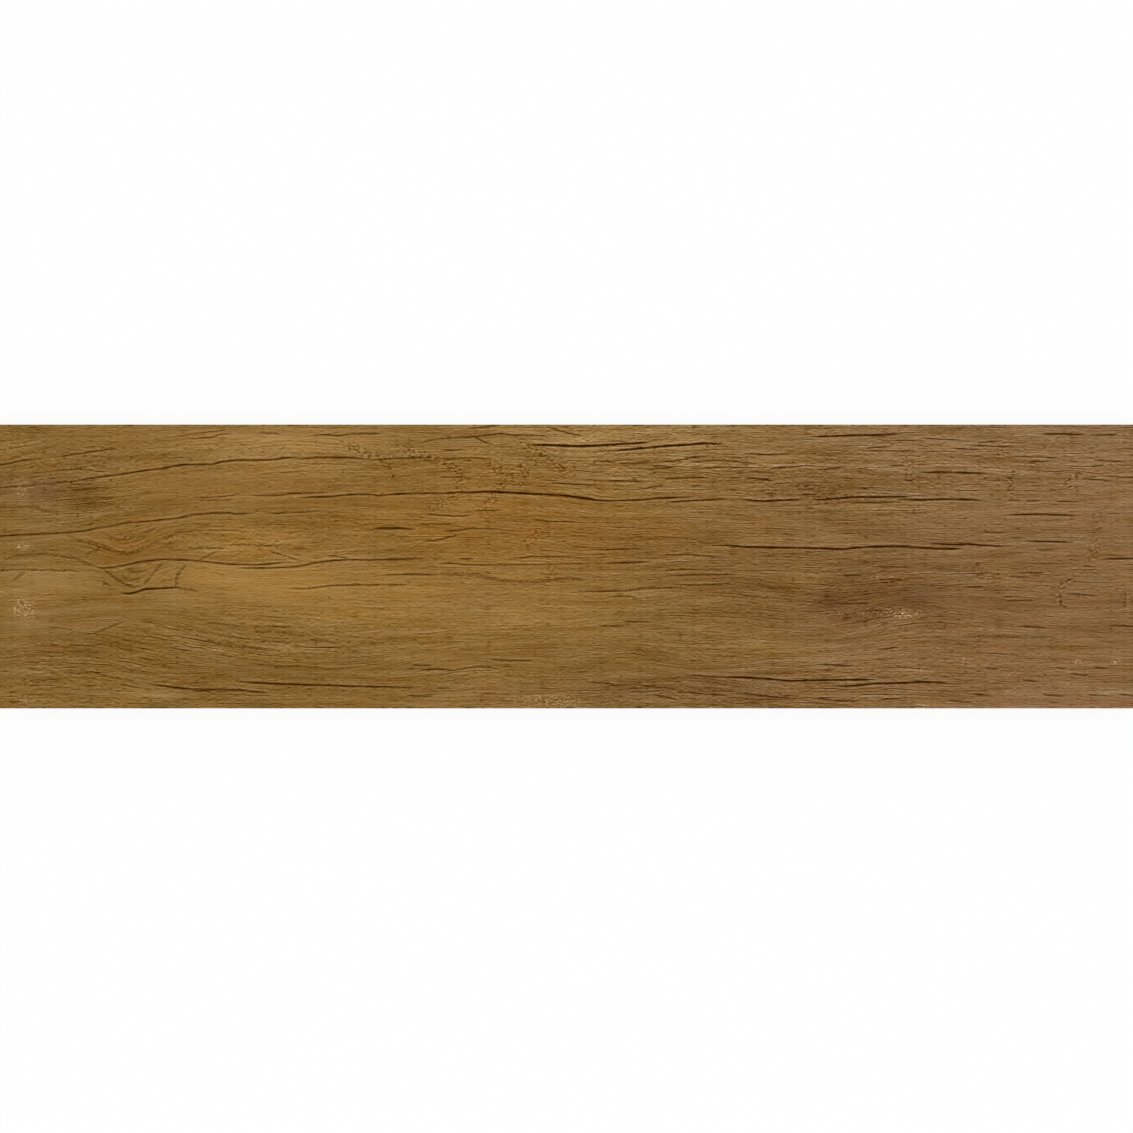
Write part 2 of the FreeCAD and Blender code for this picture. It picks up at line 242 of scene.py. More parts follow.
# Courses that the grain follows: the level of its line, in pixels down the photograph, and where it runs.
grainGuides = [
    (454, (-12, 467, 40, 458.5, 73, 455)),
    (447, (121, 448, 200, 443, 300, 438)),
    (471, (-12, 489.5, 29, 486, 75, 482)),
    (465, (104, 476, 139, 472)),
    (462, (181, 466, 233, 461, 268, 460, 319, 457, 367, 459.5, 416, 458, 478, 457.5, 560, 460, 660, 458)),
    (521, (-12, 537, 42, 534, 85, 531, 113, 526, 151, 521, 191, 516.5, 231, 514, 282, 513, 316, 511.5,
        400, 513, 520, 518, 640, 522)),
    (496, (272, 496.5, 319, 495, 377, 495, 416, 494.5, 467, 492, 492, 490.5, 513, 493, 552, 495, 580, 498,
        628, 501, 679, 498, 739, 499.5, 793, 500.5, 842, 498, 891, 497, 936, 500, 987, 500)),
    (569, (-12, 570.5, 36, 569.5, 81, 571)),
    (562, (101, 568, 133, 564, 167, 559, 198, 560.5, 233, 564.5, 270, 564.5, 319, 562, 371, 559.5,
        428, 558.5, 525, 561.5, 585, 564)),
    (545, (191, 548, 243, 544, 298, 544)),
    (531, (85, 534, 100, 534, 112, 538, 121, 541, 130, 539.5, 140, 536, 150, 531.5, 162, 526.5)),
    (540, (48, 544, 66, 542, 80, 543.5, 92, 546, 112, 551, 126, 554.5, 139, 552, 150, 547, 165, 540,
        178, 536)),
    (573, (88, 576, 103, 573, 112, 577, 122, 583, 134, 587, 144, 585, 153, 577, 162, 570, 178, 570)),
    (590, (-12, 590, 60, 589, 131, 593, 178, 588, 240, 590, 330, 588, 440, 588, 560, 589)),
    (618, (-12, 619, 60, 616, 120, 611, 155, 612, 230, 617, 300, 622, 420, 624, 560, 622)),
    (632, (168, 624, 191, 629.8, 212, 633.3, 252, 639, 294, 642, 342, 643.2)),
    (650, (-12, 640, 60, 634, 100, 634, 127, 640, 152, 645, 190, 651.5, 230, 657, 262, 661, 300, 663,
        360, 662, 480, 655, 620, 649)),
    (680, (-12, 672, 40, 668, 82, 670)),
    (685, (119, 679, 158, 685)),
    (690, (195, 689.5, 243, 690, 267, 692.5, 400, 694)),
    (684, (241, 681.5, 305, 684.5, 367, 686.5, 416, 687.5)),
    (436, (321, 436, 383, 434, 473, 436, 500, 434.5, 550, 436)),
    (446, (529, 443.5, 560, 446, 580, 447, 609, 444.5, 644, 446, 669, 445, 726, 444, 809, 445)),
    (436, (809, 437.5, 862, 434.5, 902, 434, 1037, 434, 1094, 434.5)),
    (547, (583, 549, 646, 549, 729, 546, 784, 547.5, 819, 549, 858, 547.5, 893, 546.5, 945, 547, 994, 546,
        1047, 542, 1145, 545)),
    (575, (655, 576.5, 702, 573.5, 800, 578, 900, 574, 1014, 572.5, 1145, 575)),
    (590, (583, 591, 638, 590, 698, 586, 770, 592, 850, 596, 930, 590, 1063, 594, 1145, 590)),
    (610, (780, 616, 820, 618, 850, 613, 881, 606, 920, 602, 970, 606)),
    (628, (640, 629, 760, 633, 840, 635, 870, 630, 916, 621, 960, 623, 1016, 628, 1145, 631)),
    (662, (480, 659, 560, 664, 618, 661, 696, 668, 790, 664, 920, 660, 1145, 664)),
    (680, (682, 674.5, 747, 677.5, 803, 680, 875, 679.5, 950, 683, 1145, 682)),
    (473, (700, 474, 800, 472, 917, 473.5, 942, 472.5, 989, 473.5, 1090, 479, 1145, 477)),
    (515, (740, 517, 860, 519, 1003, 516, 1051, 515, 1145, 516)),
]

flowLook = {
    "alongReach": 42.0,    # how far a guide bends the grain, in millimetres
    "acrossReach": 12.0,
    "give": 0.02,          # how loosely the grain keeps to its guides
    "edgeStep": 24.0,      # between the places that hold the long edges straight
}


def flowKernel(dx, dy):
    r = np.sqrt((dx / flowLook["alongReach"]) ** 2 + (dy / flowLook["acrossReach"]) ** 2) * math.sqrt(3)
    return (1 + r) * np.exp(-r)


def fitFlow():
    spots, lifts = [], []
    for level, course in grainGuides:
        line = onTile(course)
        levelOnTile = (photoMiddle - level) * perPixel
        spots += [(x, levelOnTile) for x in line[:, 0]]
        lifts += list(line[:, 1] - levelOnTile)
    for side in (-1, 1):
        for x in np.arange(-tileLength / 2, tileLength / 2 + 1, flowLook["edgeStep"]):
            spots.append((x, side * tileWidth / 2))
            lifts.append(0.0)
    spots, lifts = np.array(spots), np.array(lifts)
    pull = flowKernel(spots[:, None, 0] - spots[None, :, 0], spots[:, None, 1] - spots[None, :, 1])
    weights = np.linalg.solve(pull + flowLook["give"] * np.eye(len(spots)), lifts)
    return spots, weights


faceLook = {
    "arris": 0.6,          # bevel round the face, as on the solid, in millimetres
    "rowStep": 0.5,        # across the grain
    "leftColumn": 1.75,    # along the grain, where the knot is
    "rightColumn": 2.5,
    "leftShare": 0.3,      # share of the length that has the closer columns
    "tightest": 0.3,       # least gap of two rows, as a share of the usual one
    "splitDepth": 0.5,     # deepest split
    "edgeDepth": 0.35,     # most that a split cuts into the bevel
    "grainDepth": 0.07,    # shallow relief of the pressed grain
    "grainSway": (0.5, 0.31),  # its middle, as a share of that depth, and how far it sways from there
    "grain": [(60.0, 2.2, 21, 1.0), (26.0, 1.1, 22, 0.6)],  # along, across, seed and share
}


def layFaceGrid():
    reachX, reachY = tileLength / 2 - faceLook["arris"], tileWidth / 2 - faceLook["arris"]
    turn = -reachX + 2 * reachX * faceLook["leftShare"]
    left = np.linspace(-reachX, turn, round((turn + reachX) / faceLook["leftColumn"]) + 1)
    right = np.linspace(turn, reachX, round((reachX - turn) / faceLook["rightColumn"]) + 1)
    columns = np.concatenate([left, right[1:]])
    levels = np.linspace(-reachY, reachY, round(2 * reachY / faceLook["rowStep"]) + 1)
    spots, weights = fitFlow()
    lifts = [flowKernel(columns[:, None] - spots[:, 0], level - spots[:, 1]) @ weights for level in levels]
    rows = levels[:, None] + np.array(lifts)
    steps = np.maximum(np.diff(rows, axis=0), faceLook["tightest"] * faceLook["rowStep"])
    steps *= 2 * reachY / steps.sum(0)  # rows never cross, and the outer ones lie on the bevel
    rows = -reachY + np.vstack([np.zeros(len(columns)), np.cumsum(steps, 0)])
    apart = f"{steps.min():.2f} to {steps.max():.2f} mm apart"
    print(f"face grid: {len(levels)} rows x {len(columns)} columns, {apart}")
    return np.broadcast_to(columns, rows.shape), rows, np.broadcast_to(levels[:, None], rows.shape)


splitLook = {
    "taper": 9.0,          # length over which an end thins out, in millimetres
    "taperShare": 0.25,    # most of the line that an end takes up
    "endFade": 0.15,       # how slowly its darkness follows where it thins out
    "nearest": 2.2,        # how far from its middle a split is stored
    "search": 3,           # how many times as far a line is looked for
    "fading": (1.9, 1.3),  # how far from it its darkness is stored as nothing and in full
    "clear": 3.6,          # lines nearer to each other than this go in separate layers
    "ragged": (4.0, 0.18, 11),  # step along the line, share of its width, and seed
    "shallow": (0.35, 0.9),  # a faint line is only printed, and a dark one is cut to its full depth
    "shoulder": 0.3,       # soft shoulder of the groove
}


def followLine(px, py, line):
    away = np.full(px.shape, np.inf)
    offset, along = np.zeros(px.shape), np.zeros(px.shape)
    travelled = 0.0
    for start, end in zip(line[:-1], line[1:]):
        run = np.hypot(*(end - start))
        ux, uy = (end - start) / run
        t = np.clip((px - start[0]) * ux + (py - start[1]) * uy, 0, run)
        ox, oy = px - start[0] - t * ux, py - start[1] - t * uy
        gap = np.hypot(ox, oy)
        closer = gap < away
        away[closer] = gap[closer]
        offset[closer] = (gap * np.sign(ux * oy - uy * ox))[closer]  # one side of the course is negative
        along[closer] = (travelled + t)[closer]
        travelled += run
    return offset, along, travelled


def layerCourses():
    courses = [(width, shade, onTile(course)) for width, shade, course in splits.values()]
    for width, shade, lines in hairlines.values():
        courses += [(width, shade, onTile(line)) for line in lines]
    layers = []
    for course in courses:
        line = course[2]
        runs = zip(line[:-1], line[1:])
        spots = np.vstack([np.linspace(a, b, 2 + int(np.hypot(*(b - a)))) for a, b in runs])
        for layer in layers:
            if np.hypot(*(spots[:, None] - layer["spots"]).T).min() > splitLook["clear"]:
                break
        else:
            layer = {"courses": [], "spots": np.empty((0, 2))}
            layers.append(layer)
        layer["courses"].append(course)
        layer["spots"] = np.vstack([layer["spots"], spots])
    print("split layers:", [len(layer["courses"]) for layer in layers])
    return [layer["courses"] for layer in layers]


def cutSplits(x, y):
    cuts, depth = [], np.zeros(x.shape)
    reach = splitLook["search"] * splitLook["nearest"]
    step, raggedness, seed = splitLook["ragged"]
    for courses in layerCourses():
        cut = np.zeros(x.shape + (3,))  # offset from the nearest line, its half width, and how dark it is
        cut[..., 0] = reach
        gap = np.full(x.shape, splitLook["nearest"])
        for number, (width, shade, line) in enumerate(courses):
            low, high = line.min(0) - reach, line.max(0) + reach
            near = np.nonzero((x > low[0]) & (x < high[0]) & (y > low[1]) & (y < high[1]))
            offset, along, whole = followLine(x[near], y[near], line)
            thin = thinEnds(along, whole, min(splitLook["taper"], splitLook["taperShare"] * whole))
            wander = 1 + raggedness * softNoise(along, np.full_like(along, number), step, 1.0, seed)
            here = width * perPixel * np.sqrt(thin) * wander
            away = np.abs(offset)
            groove = np.clip(1 - (away / (here + splitLook["shoulder"])) ** 2, 0, 1) ** 2
            deepest = faceLook["splitDepth"] * smoothStep(*splitLook["shallow"], shade)
            depth[near] = np.maximum(depth[near], groove * thin * deepest)
            nearer = away < gap[near]
            picked = tuple(axis[nearer] for axis in near)
            gap[picked] = away[nearer]
            dark = shade * thin ** splitLook["endFade"] * smoothStep(*splitLook["fading"], away)
            cut[picked] = np.stack([offset, here, dark], -1)[nearer]
        cuts.append(cut)
    return cuts, depth


# Soft patches, many set from the measured error of a render: middle and reach in pixels, change in colour.
tonePatches = {
    "topLightLeft": ((290, 444), (100, 20), (25, 22, 19)),
    "belowTopLight": ((295, 457), (32, 7), (-8, -7, -5)),
    "topMiddle": ((610, 440), (160, 22), (18, 17, 15)),
    "topRight": ((930, 442), (190, 24), (6, 7, 7)),
    "topDip": ((471, 436), (32, 9), (-13, -14, -12)),
    "topLift": ((594, 436), (30, 8), (11, 10, 8)),
    "leftShade": ((40, 492), (55, 22), (-15, -12, -5)),
    "leftHaze": ((35, 488), (34, 13), (3, 1, 6)),
    "belowLeftShade": ((38, 506), (34, 9), (12, 12, 11)),
    "tongueShade": ((86, 494), (24, 24), (-8, -7, -6)),
    "tongueTipLight": ((116, 494), (16, 6), (6, 6, 4)),
    "underTongueTip": ((127, 510), (18, 5), (-9, -7, -6)),
    "aboveTongueTip": ((103, 463), (24, 9), (-10, -10, -7)),
    "tongueEnd": ((298, 472), (60, 8), (10, 9.5, 6.5)),
    "upperMiddleDip": ((689, 472), (32, 7), (-10, -9, -11)),
    "centreLift": ((644, 514), (36, 8), (9, 10, 8)),
    "upperTongue": ((230, 488), (110, 22), (7, 3, 2)),
    "goldLeft": ((426, 536), (30, 8), (9, 9, 7)),
    "goldDip": ((516, 528), (34, 9), (-9, -8, -6)),
    "goldTop": ((489, 470), (28, 8), (10, 8, 5)),
    "centreGold": ((490, 525), (170, 46), (8, 0, -5)),
    "underLongSplit": ((610, 497), (55, 22), (3, 4, 2)),
    "underFarSplit": ((873, 508), (32, 8), (9, 9, 4)),
    "farRight": ((1125, 490), (70, 60), (4, 3, 5)),
    "upperRight": ((1010, 490), (230, 30), (3, 4, 3)),
    "aboveKnotLine": ((245, 542), (60, 20), (15, 10, 4)),
    "knotBrown": ((135, 545), (42, 20), (-2, -5, -7)),
    "swirlRedHigh": ((142, 519), (24, 5), (5, -2, -3)),
    "swirlRedMiddle": ((126, 545), (20, 5), (6, -1, -3)),
    "swirlRedLow": ((110, 556), (18, 5), (6, -2, -3)),
    "knotBowl": ((124, 580), (21, 12), (-9, -8, -9)),
    "leftEye": ((45, 583), (55, 15), (16, 15, 13)),
    "middleTongue": ((275, 585), (110, 22), (24, 18, 11)),
    "tongueTip": ((206, 571), (24, 10), (12, 11, 8)),
    "underTongue": ((338, 616), (58, 9), (10, 10, 7)),
    "leftLow": ((32, 627), (24, 14), (11, 12, 13)),
    "middleGlow": ((490, 606), (150, 34), (16.5, 13, 8.5)),
    "glowDip": ((476, 601), (38, 12), (-8, -7, -3)),
    "rightShade": ((850, 588), (160, 34), (-14, -13, -11)),
    "cloudLeft": ((829, 600), (13, 11), (-12, -13, -5)),
    "cloudMiddle": ((852, 614), (30, 9), (-17, -17, -9)),
    "cloudRight": ((915, 601), (22, 10), (-12, -12, -6)),
    "aboveCloud": ((808, 582), (28, 16), (13, 13.5, 11)),
    "rightLift": ((1000, 577), (20, 10), (10, 10, 7)),
    "redCloud": ((784, 590), (14, 9), (-7, -8, -7)),
    "brownCloud": ((732, 590), (20, 10), (-5, -5, -4)),
    "upperRightShade": ((820, 494), (60, 14), (-7, -6, -4)),
    "lowerMiddleShade": ((720, 690), (90, 18), (-11, -10, -4)),
    "lowerMiddleDip": ((625, 694), (40, 18), (-6, -4, 0)),
    "lowerMiddleEdge": ((447, 697), (32, 8), (10, 9, 9)),
    "lowerLeftEdge": ((295, 698), (85, 8), (10, 9, 8)),
    "lowerGlow": ((505, 678), (32, 8), (9, 10, 8)),
    "lowerDip": ((593, 675), (34, 10), (-10, -10, -9)),
    "lowerRightGlow": ((998, 666), (32, 8), (10, 9, 9)),
    "fanLift": ((87, 678), (32, 8), (9, 10, 7)),
    "fanLeft": ((141, 657), (26, 8), (9, 8, 6)),
    "fanDip": ((298, 667), (30, 7), (-8, -8, -11)),
    "fanShade": ((130, 645), (45, 16), (-4, -4, -5)),
    "lowerLeftLift": ((140, 695), (50, 12), (17, 17, 16)),
    "lowerRightLift": ((1045, 696), (80, 14), (7, 8, 11)),
    "leftEdgeDip": ((4, 657), (20, 10), (-9, -8, -7)),
    "topFar": ((1100, 440), (50, 18), (2, 4, 6)),
    "rightMiddleDip": ((640, 640), (100, 40), (-3, -2, -3)),
    "lowerLeftShade": ((260, 690), (140, 22), (-10, -9, -7)),
    "lowerLeft": ((60, 660), (80, 40), (-5, -4, -2)),
    "lowerMiddleLight": ((535, 694), (80, 16), (0, -1, 4)),
    "lowerEdgeRed": ((1060, 705), (90, 5), (6, 1, 2)),
    "underPaleStreak": ((771, 650), (28, 8), (8, 9, 4)),
    "paleStreak": ((760, 637), (26, 8), (5, 4, 4)),
}
baseTone = {
    "left": (135, 102.2, 54),       # red, green and blue levels
    "right": (133.8, 101.4, 65.2),
    "turn": (0.38, 0.9),            # share of the length where the right one starts and is full
    "white": 255,
}


def printTone(x, y):
    share = smoothStep(*baseTone["turn"], x / tileLength + 0.5)[..., None]
    tone = np.array(baseTone["left"]) * (1 - share) + np.array(baseTone["right"]) * share
    for middle, reach, change in tonePatches.values():
        tone = tone + patch(x, y, middle, reach)[..., None] * np.array(change)
    return tone / baseTone["white"]


# Where the print is plain or busy: middle and reach in pixels, and the change in lines and in dashes.
grainPatches = {
    "upperTonguePlain": ((200, 482), (90, 13), (-0.2, -0.4)),
    "leftEyePlain": ((60, 583), (50, 10), (-0.25, -0.4)),
    "knotPlain": ((190, 577), (22, 11), (-0.3, -0.5)),
    "middleTonguePlain": ((290, 585), (90, 16), (-0.2, -0.5)),
    "lowerMiddlePlain": ((420, 606), (330, 30), (-0.22, -0.3)),
    "upperMiddleBusy": ((600, 448), (110, 28), (0.6, 0.35)),
    "upperRightBusy": ((860, 455), (190, 40), (0.35, 0.1)),
    "fanBusy": ((230, 655), (160, 40), (0.2, 0.85)),
    "lowerRightBusy": ((770, 685), (130, 26), (0.3, 0.2)),
    "tongueTipBusy": ((88, 498), (30, 26), (0.35, 0.45)),
    "leftPlain": ((70, 535), (110, 50), (-0.15, -0.1)),
    "rightPlain": ((1120, 590), (150, 110), (-0.3, -0.25)),
}

# Growth rings that cross the grain as chains of pores, traced: half width, strength, and courses.
poreArcs = {
    "broad": (5.6, 0.9, [
        (333, 437, 349, 445, 366, 453, 380, 459, 389, 467, 393, 477, 386, 488),
        (383, 440, 395, 446, 406, 450, 420, 456, 433, 459, 450, 463, 459, 472, 461, 486, 454, 495, 443, 503,
         428, 511, 414, 520), (483, 457, 496, 467, 503, 477, 501, 486, 494, 494, 487, 505, 476, 517),
        (516, 460, 525, 468, 524, 480, 517, 488), (510, 430, 528, 446, 546, 457, 562, 470, 578, 480),
        (558, 527, 546, 531, 532, 537, 518, 547)]),
    "faint": (6.0, 0.7, [
        (1104, 508, 1097, 522, 1095, 538, 1090, 568), (975, 556, 977, 570, 988, 576, 1004, 582),
        (545, 562, 552, 574, 540, 584), (906, 450, 909, 466, 908, 484), (902, 508, 914, 511, 926, 508),
        (1126, 584, 1122, 594, 1127, 608), (996, 447, 1010, 458)]),
    "fine": (3.6, 1.05, [
        (1014, 466, 1015, 469, 1011, 472, 1009, 476, 1007, 484, 1010, 490, 1007, 497),
        (1087, 469, 1081, 471, 1076, 475, 1070, 479, 1066, 482, 1070, 486, 1075, 492, 1079, 499),
        (1102, 509, 1097, 512, 1094, 519, 1097, 524, 1096, 532),
        (1078, 576, 1066, 581, 1059, 588, 1057, 594, 1057, 601, 1063, 606, 1066, 611)]),
}
poreLook = {
    "farthest": 9.0,       # half widths from a ring that are told apart
    "taper": 0.2,          # share of a ring over which each end fades
}
poreClusters = {  # dark pores close together: middle and reach in pixels, and strength
    "tongueTip": ((105, 511), (30, 12), 0.3),
    "rightFirst": ((766, 495), (12, 6), 0.8),
    "rightSecond": ((798, 487), (14, 4), 0.7),
    "rightThird": ((828, 497), (20, 9), 0.8),
}
flecks = {  # pale worn places: middle and reach in pixels, and strength
    "lowerLeft": ((25, 608), (12, 11), 1.3),
    "leftEye": ((25, 547), (8, 4), 1.4),
    "leftTongue": ((23, 492), (7, 9), 0.8),
    "bottomLeft": ((29, 701), (14, 6), 0.5),
    "swirl": ((130, 508), (6, 3), 0.9),
    "rightMiddle": ((905, 615), (12, 4), 1.0),
    "rightMiddleHaze": ((895, 612), (24, 4), 0.6),
    "bottomRightSpot": ((922, 705), (4, 3), 1.9),
    "lowerRight": ((918, 671), (12, 6), 0.45),
    "upperRight": ((880, 577), (14, 4), 0.6),
    "bottomMiddle": ((550, 701), (34, 6), 0.95),
    "rightMiddleTrail": ((850, 612), (36, 5), 0.4),
    "topLeft": ((15, 445), (40, 8), 0.3),
    "farRightSpot": ((1077, 661), (4, 3), 1.3),
    "farRightSecond": ((1114, 661), (4, 3), 1.3),
    "lowerRightSpot": ((1010, 674), (4, 3), 1.0),
    "lowerRightSecond": ((962, 661), (4, 3), 1.0),
    "paleStreak": ((757, 638), (16, 5), 0.5),
}
gainLook = {
    "turn": (0.2, 0.7),    # share of the length where the print starts to change, and where it has changed
    "lines": (0.9, 0.1),   # how strong they are on the left, and how much more so on the right
    "dashes": (0.6, 0.4),
    "most": 1.5,
}


def traceArcs(x, y):
    ratio, strength = np.full(x.shape, np.inf), np.zeros(x.shape)
    for width, full, courses in poreArcs.values():
        for course in courses:
            offset, along, whole = followLine(x, y, onTile(course))
            here = offset / (width * perPixel)  # in half widths from the ring
            nearer = np.abs(here) < np.abs(ratio)
            ratio[nearer] = here[nearer]
            strength[nearer] = (full * thinEnds(along, whole, poreLook["taper"] * whole))[nearer]
    return ratio.clip(-poreLook["farthest"], poreLook["farthest"]), strength


def patchSum(x, y, patches):
    return sum(patch(x, y, middle, reach) * strength for middle, reach, strength in patches.values())


def grainGain(x, y):
    share = smoothStep(*gainLook["turn"], x / tileLength + 0.5)
    lines, dashes = (left + more * share for left, more in (gainLook["lines"], gainLook["dashes"]))
    gain = np.stack([lines, dashes, patchSum(x, y, poreClusters)], -1)
    for middle, reach, change in grainPatches.values():
        gain[..., :2] += patch(x, y, middle, reach)[..., None] * np.array(change)
    return gain.clip(0, gainLook["most"])


bakeMap = {  # where the surfaces lie on the bake's map: left, bottom, width and height
    "face": (0.005, 0.215, 0.99, 0.78),
    "back": (0.005, 0.005, 0.72, 0.195),
    "edges": (0.735, 0.005, 0.26, 0.0475),
    "edgeGap": 0.0025,
}


def mapBake(mesh, points, zone):
    corner = np.empty(len(mesh.loops), np.int32)
    mesh.loops.foreach_get("vertex_index", corner)
    shares = points[corner] / np.array([tileLength, tileWidth, tileThickness])  # from the middle of the back
    x, y, z = (shares + (0.5, 0.5, 0.0)).T
    spot = np.zeros((len(corner), 2))
    surfaces = ("face", "back")
    for number, name in enumerate(surfaces):
        left, bottom, width, height = bakeMap[name]
        here = zone == number
        spot[here] = np.column_stack([left + width * x[here], bottom + height * y[here]])
    left, bottom, width, height = bakeMap["edges"]
    for strip in range(4):  # the four edges, one above the other
        here = zone == len(surfaces) + strip
        along = x if strip % 2 == 0 else y
        rise = bottom + strip * height + (height - bakeMap["edgeGap"]) * z[here]
        spot[here] = np.column_stack([left + width * along[here], rise])
    mesh.uv_layers.new(name="OFBake").data.foreach_set("uv", spot.astype(np.float32).ravel())


def raiseFace(x, y, level, depth):
    relief = np.zeros(x.shape)
    for along, across, seed, share in faceLook["grain"]:
        relief += share * softNoise(x, level, along, across, seed)
    middle, sway = faceLook["grainSway"]
    sunk = np.maximum(depth, faceLook["grainDepth"] * (middle + sway * relief).clip(0, 1))
    rim = np.zeros(x.shape, bool)
    rim[[0, -1]] = rim[:, [0, -1]] = True
    sunk[rim] = np.minimum(sunk[rim], faceLook["edgeDepth"])
    return np.column_stack([x.ravel(), y.ravel(), (tileThickness - sunk).ravel()])


def layBevel(rim):
    outer = rim.copy()
    for axis, side in enumerate((tileLength, tileWidth)):
        atEdge = np.abs(rim[:, axis]) > side / 2 - faceLook["arris"] - tolerance
        outer[atEdge, axis] = np.sign(rim[atEdge, axis]) * side / 2
    outer[:, 2] = tileThickness - faceLook["arris"]
    return outer


def takeBack():
    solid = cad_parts["plank_tile"].data
    corners = np.array([v.co for v in solid.vertices]) / millimetre
    welded, index = np.unique(np.round(corners, weldDigits), axis=0, return_inverse=True)
    index = index.ravel()
    faces = [[index[v] for v in p.vertices] for p in solid.polygons]
    faces = [f for f in faces if len(set(f)) > 2 and welded[f, 2].max() < tileThickness / 2]
    used = np.unique(np.concatenate(faces))
    place = {old: new for new, old in enumerate(used)}
    return welded[used], [[place[v] for v in f] for f in faces]


def closeEdges(points, bevel, backStart, columns, rows):
    walls = []
    feet = [v for v in range(backStart, len(points)) if points[v, 2] > tolerance]
    bend = np.cumsum([0, columns - 1, rows - 1, columns - 1, rows - 1])  # where the bevel turns a corner
    for first, last, axis, sign in zip(bend[:-1], bend[1:], (1, 0, 1, 0), (-1, 1, 1, -1)):
        top = [bevel[n % len(bevel)] for n in range(first, last + 1)]
        edge = sign * (tileLength, tileWidth)[axis] / 2
        foot = [v for v in feet if abs(points[v, axis] - edge) < tolerance]
        way = np.sign(points[top[-1], 1 - axis] - points[top[0], 1 - axis])
        foot.sort(key=lambda v: points[v, 1 - axis] * way)
        walls.append(foot + top[::-1])
    return walls


def storeLayers(mesh, layers, ring, bevel):
    for name, values in layers.items():
        onFace = np.asarray(values, np.float32).reshape(-1, 3)
        everywhere = np.zeros((len(mesh.vertices), 3), np.float32)
        everywhere[:len(onFace)] = onFace
        everywhere[bevel] = onFace[ring]  # the bevel carries on the print of the face
        mesh.attributes.new(name, "FLOAT_VECTOR", "POINT").data.foreach_set("vector", everywhere.ravel())


def buildTile():
    x, y, level = layFaceGrid()
    cuts, depth = cutSplits(x, y)
    face = raiseFace(x, y, level, depth)
    back, backFaces = takeBack()
    rows, columns = x.shape
    number = np.arange(x.size).reshape(rows, columns)
    sides = [number[0, :-1], number[:-1, -1], number[-1, :0:-1], number[:0:-1, 0]]  # round the face
    ring = np.concatenate(sides)
    bevel = x.size + np.arange(len(ring))
    backStart = x.size + len(ring)
    points = np.vstack([face, layBevel(face[ring]), back])
    quads = np.stack([number[:-1, :-1], number[:-1, 1:], number[1:, 1:], number[1:, :-1]], -1).reshape(-1, 4)
    bevelQuads = np.column_stack([ring, bevel, np.roll(bevel, -1), np.roll(ring, -1)])
    faces = quads.tolist() + bevelQuads.tolist() + [[backStart + v for v in f] for f in backFaces]
    faces += closeEdges(points, bevel, backStart, columns, rows)
    mesh = bpy.data.meshes.new("woodPlankTile")
    mesh.from_pydata((points * millimetre).tolist(), [], faces)
    tile = bpy.data.objects.new("woodPlankTile", mesh)
    bpy.context.scene.collection.objects.link(tile)
    storeLayers(mesh, {
        "grainFlow": np.stack([x, level, np.zeros(x.shape)], -1),
        **{f"splitCut{layer}": cut for layer, cut in enumerate(cuts)},
        "printTone": printTone(x, y),
        "ringPores": np.stack([*traceArcs(x, y), patchSum(x, y, flecks)], -1),
        "grainGain": grainGain(x, y),
    }, ring, bevel)
    counts = [len(quads) + len(ring), len(backFaces), 1, 1, 1, 1]  # of the face, the back and each edge
    zones = np.repeat(range(len(counts)), counts)
    mesh.polygons.foreach_set("material_index", (zones > 0).astype(np.int32))  # face and bevel are glazed
    mesh.polygons.foreach_set("use_smooth", np.arange(len(faces)) < len(quads))
    mesh.update()
    mapBake(mesh, points, np.repeat(zones, [len(f) for f in faces]))
    print(f"tile: {len(faces)} faces, {len(backFaces)} of them on the back")
    return tile


def addNode(tree, kind, inputs=None, **settings):
    made = tree.nodes.new(kind)
    for name, value in settings.items():
        setattr(made, name, value)
    for name, value in (inputs or {}).items():
        if isinstance(value, bpy.types.NodeSocket):
            tree.links.new(value, made.inputs[name])
        else:
            made.inputs[name].default_value = value
    return made


def calc(tree, operation, *values, clamp=False):
    made = addNode(tree, "ShaderNodeMath", dict(enumerate(values)), operation=operation, use_clamp=clamp)
    return made.outputs[0]


def vectorCalc(tree, operation, *values):
    slots = (0, 3) if operation == "SCALE" else (0, 1, 2)  # a scale's factor has a socket of its own
    return addNode(tree, "ShaderNodeVectorMath", dict(zip(slots, values)), operation=operation).outputs[0]


def axes(tree, vector):
    return addNode(tree, "ShaderNodeSeparateXYZ", {0: vector}).outputs


def attribute(tree, name):
    return addNode(tree, "ShaderNodeAttribute", attribute_name=name).outputs["Vector"]


def addNoise(tree, place, detail, inputs=None, **settings):
    values = {"Vector": place, "Scale": 1.0, "Detail": detail, **(inputs or {})}
    return addNode(tree, "ShaderNodeTexNoise", values, **settings).outputs


def centred(tree, noise):
    return calc(tree, "SUBTRACT", noise, noiseMiddle)


def ease(tree, value, low, high):
    return addNode(tree, "ShaderNodeMapRange", {"Value": value, "From Min": low, "From Max": high},
                   interpolation_type="SMOOTHSTEP").outputs[0]


def total(tree, parts):
    result = parts[0]
    for part in parts[1:]:
        result = calc(tree, "ADD", result, part)
    return result


def startGroup(name, vectors, values, outputs):
    tree = bpy.data.node_groups.new(name, "ShaderNodeTree")
    sockets = [(label, "INPUT", "NodeSocketVector") for label in vectors]
    sockets += [(label, "INPUT", "NodeSocketFloat") for label in values]
    sockets += [(label, "OUTPUT", "NodeSocketFloat") for label in outputs]
    for label, way, kind in sockets:
        tree.interface.new_socket(label, in_out=way, socket_type=kind)
    return tree, addNode(tree, "NodeGroupInput").outputs, addNode(tree, "NodeGroupOutput").inputs


